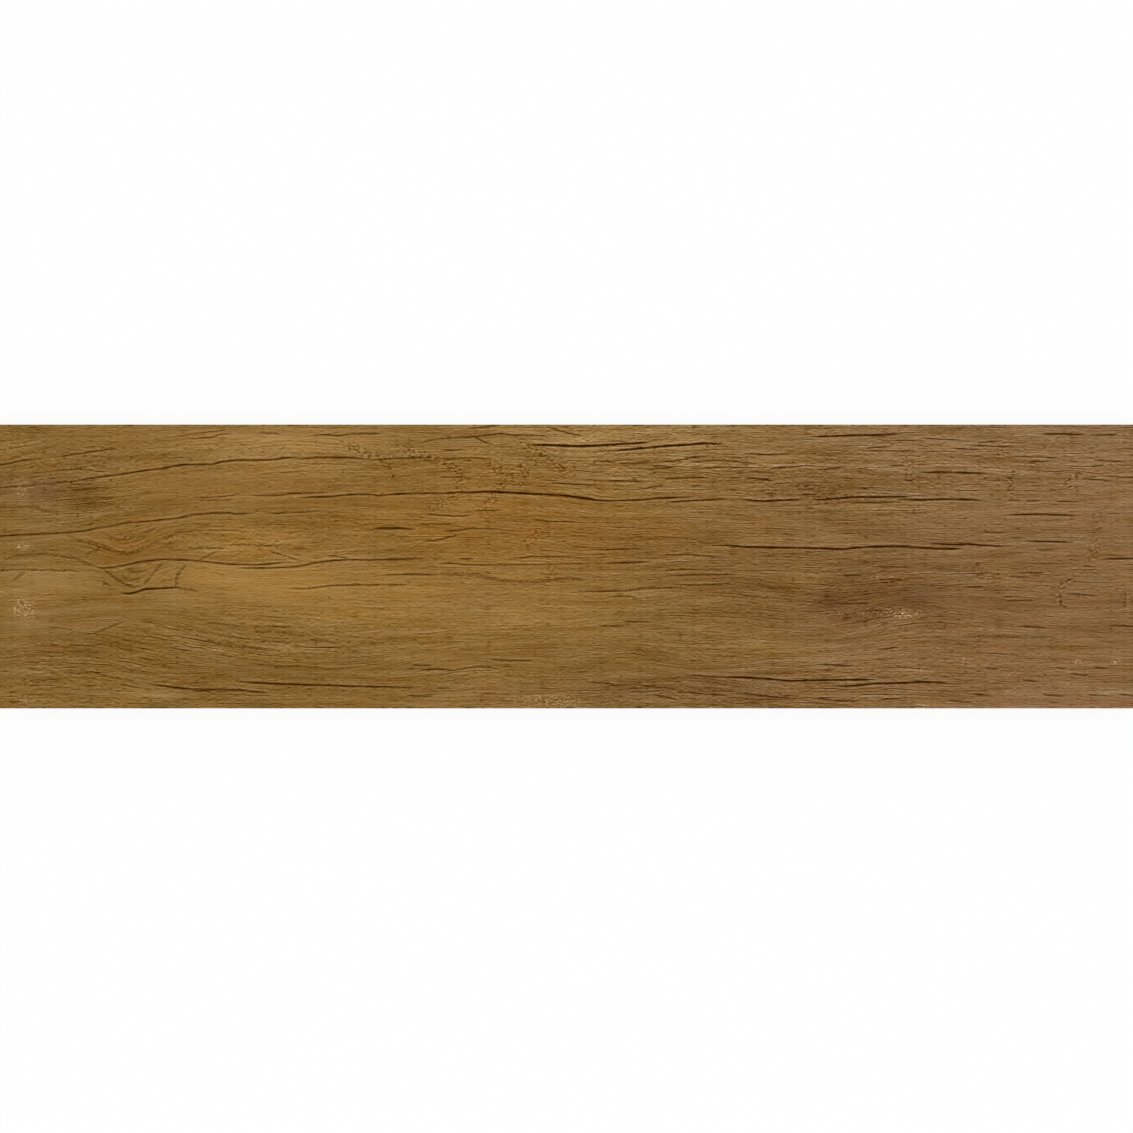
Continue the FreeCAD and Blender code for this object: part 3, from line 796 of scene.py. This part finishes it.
def placeGroup(tree, group, inputs):
    return addNode(tree, "ShaderNodeGroup", inputs, node_tree=group).outputs


def startMaterial(name):
    material = bpy.data.materials.new(name)
    material.use_nodes = True
    return material, material.node_tree, material.node_tree.nodes["Principled BSDF"]


def finishSurface(tree, shader, look, colour, roughness, height):
    bump = addNode(tree, "ShaderNodeBump", {"Height": height, "Distance": look["reliefDepth"]})
    for label, source in (("Base Color", colour), ("Roughness", roughness), ("Normal", bump.outputs[0])):
        tree.links.new(source, shader.inputs[label])
    shader.inputs["Specular IOR Level"].default_value = look["specular"]


noiseMiddle = 0.5  # a noise runs from 0 to 1
streakLook = {"Roughness": 0.6, "Lacunarity": 2.17}
seedTurn = 1.7  # a seed's move across the grain, as a share of its move along it
noiseSeeds = {  # where each noise is read, so that no two look alike
    "waver": 77.1, "fibres": 2.3, "bands": 0.0, "veins": 0.37, "fanVeins": 47.7,
    "threads": 17.9, "dashes": 29.7, "ticks": 35.3, "lightTicks": 23.3,
    "dots": 41.1, "flecks": 53.9, "warmth": 61.3, "splitFray": 91.7, "splitFade": 97.3,
}
seedSteps = {"fibres": 7.7, "bands": 3.1, "veins": 11.3}  # from one of a kind to the next


def seedOf(name, number):
    return noiseSeeds[name] + seedSteps.get(name, 0.0) * number


def streaks(tree, flow, name, along, across, detail=0.0, number=0):
    seed = seedOf(name, number)
    closeness, start = (1 / along, 1 / across, 1.0), (seed, seed * seedTurn, 0.0)
    place = vectorCalc(tree, "MULTIPLY_ADD", flow, closeness, start)
    return centred(tree, addNoise(tree, place, detail, streakLook, noise_dimensions="2D")[0])


grainLook = {
    "waver": (18.0, 4.0, 1.0, 0.12),  # along and across in millimetres, detail, and how far the grain strays
    "bands": [                     # along, across, detail and strength
        (90.0, 7.0, 1.0, 0.085), (45.0, 4.0, 0.0, 0.05), (32.0, 2.2, 0.0, 0.085)],
    "fibres": [(26.0, 0.04), (8.0, 0.05), (2.6, 0.068), (1.1, 0.07)],  # along and strength
    "raised": 2,                   # how many of the fibres are raised as well
    "fibreEdge": (1.0, 0.62),      # across, and the step from its light side to its dark one
    "calm": 0.1,                   # share of the fibres that stays where the print is plain
    "veins": [                     # gap, along, straying, half width, where one starts and is full, strength
        (2.6, 24.0, 1.0, 0.26, 0.0, 0.16, 0.16), (1.5, 12.0, 0.9, 0.22, -0.04, 0.14, 0.11)],
    "fanVeins": (1.4, 40.0, 0.5, 0.2, -0.1, 0.08, 0.11),  # closer and more even, where the print is busiest
    "fanStart": (1.15, 1.4),       # share of dashes where they start, and where they are full
    "veinEdge": (1.3, 0.4),        # half widths where a vein ends and where it is full
    "veinRim": (3.5, 1.9, 0.34),   # the same for its light rim, and the rim's strength
    "veinNoise": (3.71, 2.5),      # step from one vein to the next in the noise, and its detail
    "marks": {                     # share they follow, along, across, where one starts and is full, strength
        "threads": ("Dashes", 30.0, 0.55, -0.2, -0.32, -0.06),
        "dashes": ("Lines", 10.0, 0.5, -0.2, -0.32, -0.1),
        "ticks": ("Lines", 3.5, 0.5, -0.2, -0.32, -0.11),
        "lightTicks": ("Lines", 4.0, 0.5, 0.19, 0.32, 0.05),
    },
    "dots": (2.1, 0.95, 1.0),      # along, across and detail
    "darkDots": (0.02, -0.2, -0.18),  # where one starts and is full, and strength
    "lightDots": (0.08, 0.22, 0.1),
    "ring": (1.5, 0.3),            # half widths from a ring where its pores end and where they are full
    "flecks": (1.9, 0.6, 3.0, 0.03, 0.14),  # along, across, detail, and where one starts and is full
    "warmth": (24.0, 9.0, 1.0),    # along, across and detail
}


def traceVeins(tree, flow, name, shape, number=0):
    gap, along, stray, half, low, high = shape
    step, detail = grainLook["veinNoise"]
    x, level = axes(tree, flow)[:2]
    stripe = calc(tree, "MULTIPLY_ADD", level, 1 / gap, seedOf(name, number))
    own = calc(tree, "MULTIPLY", calc(tree, "FLOOR", stripe), step)  # each stripe has one vein of its own
    run = calc(tree, "MULTIPLY", x, 1 / along)
    place = addNode(tree, "ShaderNodeCombineXYZ", {0: run, 1: own}).outputs[0]
    noise = addNoise(tree, place, detail, noise_dimensions="2D")["Color"]
    dark, side = addNode(tree, "ShaderNodeSeparateColor", {0: noise}).outputs[:2]
    middle = calc(tree, "MULTIPLY_ADD", centred(tree, side), stray, noiseMiddle)
    away = calc(tree, "ABSOLUTE", calc(tree, "SUBTRACT", calc(tree, "FRACT", stripe), middle))
    end, full = (edge * half / gap for edge in grainLook["veinEdge"])
    rimEnd, rimFull = (edge * half / gap for edge in grainLook["veinRim"][:2])
    light = grainLook["veinRim"][2]
    line = calc(tree, "MULTIPLY", ease(tree, away, end, full), -1 - light)
    vein = calc(tree, "MULTIPLY_ADD", ease(tree, away, rimEnd, rimFull), light, line)
    return calc(tree, "MULTIPLY", vein, ease(tree, centred(tree, dark), low, high))


def bendFlow(tree, flow):
    *shape, stray = grainLook["waver"]
    bend = calc(tree, "MULTIPLY", streaks(tree, flow, "waver", *shape), 2 * stray)
    return vectorCalc(tree, "ADD", flow, addNode(tree, "ShaderNodeCombineXYZ", {1: bend}).outputs[0])


def layFibres(tree, flow):
    across, step = grainLook["fibreEdge"]
    beside = vectorCalc(tree, "ADD", flow, (0.0, step, 0.0))
    fibres = []
    for number, (along, strength) in enumerate(grainLook["fibres"]):
        sides = [streaks(tree, side, "fibres", along, across, number=number) for side in (flow, beside)]
        fibres.append(calc(tree, "MULTIPLY", calc(tree, "SUBTRACT", *sides), strength))
    return total(tree, fibres), total(tree, fibres[:grainLook["raised"]])


def layVeins(tree, flow, dashes):
    veins = []
    for number, (*shape, strength) in enumerate(grainLook["veins"]):
        vein = traceVeins(tree, flow, "veins", shape, number)
        veins.append(calc(tree, "MULTIPLY", vein, calc(tree, "MULTIPLY", dashes, strength)))
    *shape, strength = grainLook["fanVeins"]
    fan = calc(tree, "MULTIPLY", ease(tree, dashes, *grainLook["fanStart"]), strength)
    return veins + [calc(tree, "MULTIPLY", traceVeins(tree, flow, "fanVeins", shape), fan)]


def layMarks(tree, flow, given):
    marks = []
    for name, (share, along, across, low, high, strength) in grainLook["marks"].items():
        mark = ease(tree, streaks(tree, flow, name, along, across), low, high)
        marks.append(calc(tree, "MULTIPLY", mark, calc(tree, "MULTIPLY", given[share], strength)))
    dots = streaks(tree, flow, "dots", *grainLook["dots"])
    for low, high, strength in (grainLook["darkDots"], grainLook["lightDots"]):
        mark = ease(tree, dots, low, high)
        marks.append(calc(tree, "MULTIPLY", mark, calc(tree, "MULTIPLY", given["Dots"], strength)))
    return marks


def makeGrain():
    tree, given, made = startGroup("woodGrain", ["Flow"], ["Lines", "Dashes", "Dots", "Flecks"],
                                   ["Shift", "Warmth", "Relief", "Worn"])
    flow = bendFlow(tree, given["Flow"])
    fibres, relief = layFibres(tree, flow)
    busy = calc(tree, "MULTIPLY_ADD", given["Lines"], 1 - grainLook["calm"], grainLook["calm"])
    parts = [calc(tree, "MULTIPLY", fibres, busy)]
    for number, (along, across, detail, strength) in enumerate(grainLook["bands"]):
        band = calc(tree, "MULTIPLY", streaks(tree, flow, "bands", along, across, detail, number), strength)
        parts.append(calc(tree, "MULTIPLY", band, given["Lines"]))
    parts += layVeins(tree, flow, given["Dashes"]) + layMarks(tree, flow, given)
    *shape, low, high = grainLook["flecks"]
    fleck = ease(tree, streaks(tree, flow, "flecks", *shape), low, high)
    tree.links.new(total(tree, parts), made["Shift"])
    tree.links.new(streaks(tree, flow, "warmth", *grainLook["warmth"]), made["Warmth"])
    tree.links.new(relief, made["Relief"])
    tree.links.new(calc(tree, "MULTIPLY", fleck, given["Flecks"]), made["Worn"])
    return tree


gritLook = {
    "detail": 2.0,
    "speckSize": 2.6,             # between specks, in sizes of the grit
    "speckLevels": (0.3, 0.24),   # how far from its middle a speck ends and where it is full
    "speckSpread": 0.9,
}


def makeGrit():
    tree, given, made = startGroup("firedGrit", ["Place"], ["Size"], ["Grit", "Specks"])
    place = vectorCalc(tree, "SCALE", given["Place"], calc(tree, "DIVIDE", 1.0, given["Size"]))
    tree.links.new(centred(tree, addNoise(tree, place, gritLook["detail"])[0]), made["Grit"])
    cells = addNode(tree, "ShaderNodeTexVoronoi", {"Vector": place, "Scale": 1 / gritLook["speckSize"],
                                                   "Randomness": gritLook["speckSpread"]})
    tree.links.new(ease(tree, cells.outputs["Distance"], *gritLook["speckLevels"]), made["Specks"])
    return tree


glazeLook = {
    "splitColour": (0.23, 0.12, 0.0),     # in display levels, like the colours below
    "splitEdge": (1.15, 0.55),            # half widths from its middle where a split ends and is full
    "splitFray": (1.3, 0.55, 0.5, 2.5),   # along, across, and strength on a dark line and on a faint one
    "faint": (0.72, 0.42),                # darkness where a line starts to fray more, and frays most
    "splitFade": (6.0, 2.0, 0.8),         # along, across and strength
    "splitHighlight": (0.7, 1.1, 0.05),         # millimetres off where a painted highlight beside a split starts and is full, strength
    "thinnest": 0.02,                     # least half width of a split, in millimetres
    "wornColour": (0.86, 0.745, 0.57),
    "wornCover": 0.85,
    "warm": (0.03, -0.008, -0.027),       # how the print turns warmer or greener
    "follow": (0.98, 1.0, 1.04),          # how far red, green and blue follow the grain
    "darkest": (0.01, 0.01, 0.01),
    "gamma": 2.2,                         # from display levels to the shader's own
    "grit": 0.5,                          # size of the glaze's fine grit, in millimetres
    "roughness": (0.56, 0.14, -0.5),      # usual, with the grit, and with the light of the print
    "relief": (1.6, 0.12),                # height with the fibres and with the grit
    "reliefDepth": 0.00025,               # metres
    "specular": 0.02,
}


def makeSplitMask():
    tree, given, made = startGroup("splitMask", ["Cut"], ["Fray", "Fade"], ["Mask", "Rim"])
    offset, half, dark = axes(tree, given["Cut"])
    away = calc(tree, "ABSOLUTE", offset)
    ratio = calc(tree, "DIVIDE", away, calc(tree, "MAXIMUM", half, glazeLook["thinnest"]))
    onDark, onFaint = glazeLook["splitFray"][2:]
    frayed = calc(tree, "MULTIPLY_ADD", ease(tree, dark, *glazeLook["faint"]), onFaint - onDark, onDark)
    inside = ease(tree, calc(tree, "MULTIPLY_ADD", given["Fray"], frayed, ratio), *glazeLook["splitEdge"])
    mask = calc(tree, "MULTIPLY", calc(tree, "MULTIPLY", inside, dark), given["Fade"], clamp=True)
    tree.links.new(mask, made["Mask"])
    # Rim: a painted highlight, a light band on both sides of each split, standing in for light on the
    # groove's edges
    start, full, light = glazeLook["splitHighlight"]
    rim = calc(tree, "MULTIPLY", ease(tree, away, start, full), calc(tree, "MULTIPLY", dark, light))
    tree.links.new(rim, made["Rim"])
    return tree


def maskSplits(tree, flow, splitLayers):
    along, across = glazeLook["splitFray"][:2]
    fray = streaks(tree, flow, "splitFray", along, across)
    along, across, strength = glazeLook["splitFade"]
    fade = calc(tree, "MULTIPLY_ADD", streaks(tree, flow, "splitFade", along, across), strength, 1.0)
    # rim gathers the painted highlight beside the splits
    cut, rim, maskGroup = 0.0, 0.0, makeSplitMask()
    for layer in splitLayers:
        mask = placeGroup(tree, maskGroup, {"Cut": attribute(tree, layer), "Fray": fray, "Fade": fade})
        cut = calc(tree, "MAXIMUM", cut, mask["Mask"])
        rim = calc(tree, "MAXIMUM", rim, mask["Rim"])
    return cut, rim


def paintPrint(tree, shift, warmth, worn, cut):
    levels = attribute(tree, "printTone")
    for name, change in (("warm", warmth), ("follow", shift)):
        levels = vectorCalc(tree, "ADD", levels, vectorCalc(tree, "SCALE", glazeLook[name], change))
    levels = vectorCalc(tree, "MAXIMUM", levels, glazeLook["darkest"])
    worn = calc(tree, "MULTIPLY", worn, glazeLook["wornCover"], clamp=True)
    for cover, paint in ((worn, "wornColour"), (cut, "splitColour")):
        mix = addNode(tree, "ShaderNodeMix", {0: cover, 4: levels, 5: glazeLook[paint]}, data_type="VECTOR")
        levels = mix.outputs[1]
    return addNode(tree, "ShaderNodeGamma", {"Color": levels, "Gamma": glazeLook["gamma"]}).outputs[0]


def makeGlaze(gritGroup, splitLayers):
    material, tree, shader = startMaterial("printedWoodGlaze")
    flow = attribute(tree, "grainFlow")
    lines, dashes, clusters = axes(tree, attribute(tree, "grainGain"))
    ratio, strength, worn = axes(tree, attribute(tree, "ringPores"))
    ring = calc(tree, "MULTIPLY", ease(tree, calc(tree, "ABSOLUTE", ratio), *grainLook["ring"]), strength)
    dots = calc(tree, "MAXIMUM", ring, clusters)
    grain = placeGroup(tree, makeGrain(), {
        "Flow": flow, "Lines": lines, "Dashes": dashes, "Dots": dots, "Flecks": worn})
    cut, rim = maskSplits(tree, flow, splitLayers)
    # the painted highlight beside the splits lightens the print here
    shift = calc(tree, "ADD", grain["Shift"], rim)
    colour = paintPrint(tree, shift, grain["Warmth"], grain["Worn"], cut)
    grit = placeGroup(tree, gritGroup, {"Place": flow, "Size": glazeLook["grit"]})["Grit"]
    usual, withGrit, withPrint = glazeLook["roughness"]
    roughness = calc(tree, "MULTIPLY_ADD", grit, withGrit, usual)
    roughness = calc(tree, "MULTIPLY_ADD", shift, withPrint, roughness, clamp=True)
    withFibre, withGrit = glazeLook["relief"]
    height = calc(tree, "MULTIPLY_ADD", grit, withGrit, calc(tree, "MULTIPLY", grain["Relief"], withFibre))
    finishSurface(tree, shader, glazeLook, colour, roughness, height)
    return material


bodyLook = {
    "clay": (0.46, 0.36, 0.25, 1),        # bare fired body
    "cloud": (0.38, 0.285, 0.185, 1),     # where it fired darker
    "speck": (0.17, 0.11, 0.065, 1),      # iron specks
    "wash": (0.60, 0.545, 0.46, 1),       # pale kiln wash that stays on the rib tops
    "clouds": (24.0, 3.0, 0.35, 0.65),    # size in millimetres, detail, and where a cloud starts and is full
    "grit": 0.35,                         # its size in millimetres
    "gritShade": 0.35,                    # how far it shades the clay
    "speckCover": 0.75,
    "washGrit": 0.8,                      # how far the grit breaks up the wash
    "washLevels": (-0.1, 0.12),
    "washHeight": (0.12, 0.03),           # above the back, where the wash ends and where it is full
    "grind": (45.0, 45.0, 0.22),          # marks along the ground edges: long, long and close
    "grindMarks": (2.0, 0.35),            # their detail and strength
    "edgeFacing": (0.4, 0.1),             # how far up or down a surface faces where they end and are full
    "roughness": (0.8, 0.16),             # usual, and with the grit
    "reliefDepth": 0.00012,               # metres
    "specular": 0.25,
}


def blend(tree, share, first, second):
    return addNode(tree, "ShaderNodeMix", {0: share, 6: first, 7: second}, data_type="RGBA").outputs[2]


def grindEdges(tree, place):
    facing = axes(tree, addNode(tree, "ShaderNodeNewGeometry").outputs["Normal"])[2]
    onEdge = ease(tree, calc(tree, "ABSOLUTE", facing), *bodyLook["edgeFacing"])
    detail, strength = bodyLook["grindMarks"]
    lines = vectorCalc(tree, "MULTIPLY", place, [1 / size for size in bodyLook["grind"]])
    marks = calc(tree, "MULTIPLY", centred(tree, addNoise(tree, lines, detail)[0]), strength)
    return calc(tree, "MULTIPLY", marks, onEdge)


def makeBody(gritGroup):
    material, tree, shader = startMaterial("firedPorcelainBody")
    place = vectorCalc(tree, "SCALE", addNode(tree, "ShaderNodeTexCoord").outputs["Object"], 1 / millimetre)
    grit = placeGroup(tree, gritGroup, {"Place": place, "Size": bodyLook["grit"]})
    grind = grindEdges(tree, place)
    size, detail, low, high = bodyLook["clouds"]
    cloud = addNoise(tree, place, detail, {"Scale": 1 / size})[0]
    clay = blend(tree, ease(tree, cloud, low, high), bodyLook["clay"], bodyLook["cloud"])
    shade = calc(tree, "ADD", calc(tree, "MULTIPLY_ADD", grit["Grit"], bodyLook["gritShade"], 1.0), grind)
    clay = vectorCalc(tree, "SCALE", clay, shade)
    broken = calc(tree, "MULTIPLY_ADD", grit["Grit"], bodyLook["washGrit"], centred(tree, cloud))
    onRibs = ease(tree, axes(tree, place)[2], *bodyLook["washHeight"])
    wash = calc(tree, "MULTIPLY", ease(tree, broken, *bodyLook["washLevels"]), onRibs)
    clay = blend(tree, wash, clay, bodyLook["wash"])
    specks = calc(tree, "MULTIPLY", grit["Specks"], bodyLook["speckCover"])
    clay = blend(tree, specks, clay, bodyLook["speck"])
    usual, withGrit = bodyLook["roughness"]
    roughness = calc(tree, "MULTIPLY_ADD", grit["Grit"], withGrit, usual, clamp=True)
    finishSurface(tree, shader, bodyLook, clay, roughness, calc(tree, "ADD", grit["Grit"], grind))
    return material


stageLook = {
    "floorReach": 6.0,                    # metres from the middle of the tile, like the lamps' sizes
    "underArris": 0.2,                    # millimetres that the floor reaches under the tile's outline
    "floorPaint": (0.95, 0.95, 0.95, 1),
    "floorRoughness": 0.9,
    "white": 0.9,                         # share of plain white in the floor, as it is seen
    "skyLight": 0.4,
    "lampHeight": 1.6,
    "lampReach": 1.5,
    "lampSize": 1.2,
    "lampPower": 10.7,                    # watts
    "lampTurns": {                        # degrees round the tile
        "lampLeft": 135, "lampRight": 45, "lampNear": 225, "lampFar": 315},
}
plainWhite = (1, 1, 1, 1)


def layFloor():
    reach = stageLook["floorReach"]
    opening = [(side / 2 - stageLook["underArris"]) * millimetre for side in (tileLength, tileWidth)]
    turns = ((-1, -1), (1, -1), (1, 1), (-1, 1))
    corners = [(i * x, j * y, 0) for x, y in ((reach, reach), opening) for i, j in turns]
    sides = [(n, (n + 1) % 4, 4 + (n + 1) % 4, 4 + n) for n in range(4)]
    mesh = bpy.data.meshes.new("floor")
    mesh.from_pydata(corners, [], sides)  # open under the tile, so that its back shows from below
    floor = bpy.data.objects.new("floor", mesh)
    bpy.context.scene.collection.objects.link(floor)
    mesh.materials.append(paintFloor())


def paintFloor():
    material, tree, paint = startMaterial("paleFloor")
    paint.inputs["Base Color"].default_value = stageLook["floorPaint"]
    paint.inputs["Roughness"].default_value = stageLook["floorRoughness"]
    path = addNode(tree, "ShaderNodeLightPath").outputs
    seen = calc(tree, "MAXIMUM", path["Is Glossy Ray"], path["Is Transmission Ray"])
    seen = calc(tree, "MAXIMUM", path["Is Camera Ray"], seen)
    glow = addNode(tree, "ShaderNodeEmission", {"Color": plainWhite, "Strength": 1.0})
    share = calc(tree, "MULTIPLY", seen, stageLook["white"])
    surface = addNode(tree, "ShaderNodeMixShader", {0: share, 1: paint.outputs[0], 2: glow.outputs[0]})
    tree.links.new(surface.outputs[0], tree.nodes["Material Output"].inputs["Surface"])
    return material


def setSky():
    world = bpy.data.worlds.new("softSky")
    bpy.context.scene.world = world
    world.use_nodes = True
    tree = world.node_tree
    sky = tree.nodes["Background"]
    sky.inputs["Color"].default_value = plainWhite
    seen = addNode(tree, "ShaderNodeLightPath").outputs["Is Camera Ray"]
    light = stageLook["skyLight"]
    strength = calc(tree, "ADD", calc(tree, "MULTIPLY", seen, 1 - light), light)  # white where it is seen
    tree.links.new(strength, sky.inputs["Strength"])


def hangLamps():
    reach, height = stageLook["lampReach"], stageLook["lampHeight"]
    for name, turn in stageLook["lampTurns"].items():
        lamp = bpy.data.lights.new(name, "AREA")
        lamp.shape = "SQUARE"
        lamp.size = stageLook["lampSize"]
        lamp.energy = stageLook["lampPower"]
        holder = bpy.data.objects.new(name, lamp)
        angle = math.radians(turn)
        holder.location = (reach * math.cos(angle), reach * math.sin(angle), height)
        holder.rotation_euler = (-holder.location).to_track_quat("-Z", "Y").to_euler()
        bpy.context.scene.collection.objects.link(holder)


cameraLook = {"lens": 100.0, "sensor": 36.0, "crop": 1.2}  # millimetres; crop is left out of the frame


def setCamera():
    camera = bpy.data.cameras.new("camera")
    camera.lens = cameraLook["lens"]
    camera.sensor_width = cameraLook["sensor"]
    holder = bpy.data.objects.new("camera", camera)
    edgeHeight = tileThickness - faceLook["arris"]  # the widest outline of the face
    distance = (tileLength - cameraLook["crop"]) * cameraLook["lens"] / cameraLook["sensor"]
    holder.location = (0, 0, (edgeHeight + distance) * millimetre)
    bpy.context.scene.collection.objects.link(holder)
    bpy.context.scene.camera = holder


setCamera()
layFloor()
setSky()
hangLamps()
tile = buildTile()
gritGroup = makeGrit()
splitLayers = [layer.name for layer in tile.data.attributes if layer.name.startswith("splitCut")]
for material in (makeGlaze(gritGroup, splitLayers), makeBody(gritGroup)):
    tile.data.materials.append(material)
print("glaze and body painted")
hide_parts("plank_tile")
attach(tile, "root")
bpy.context.scene.view_settings.view_transform = "Standard"
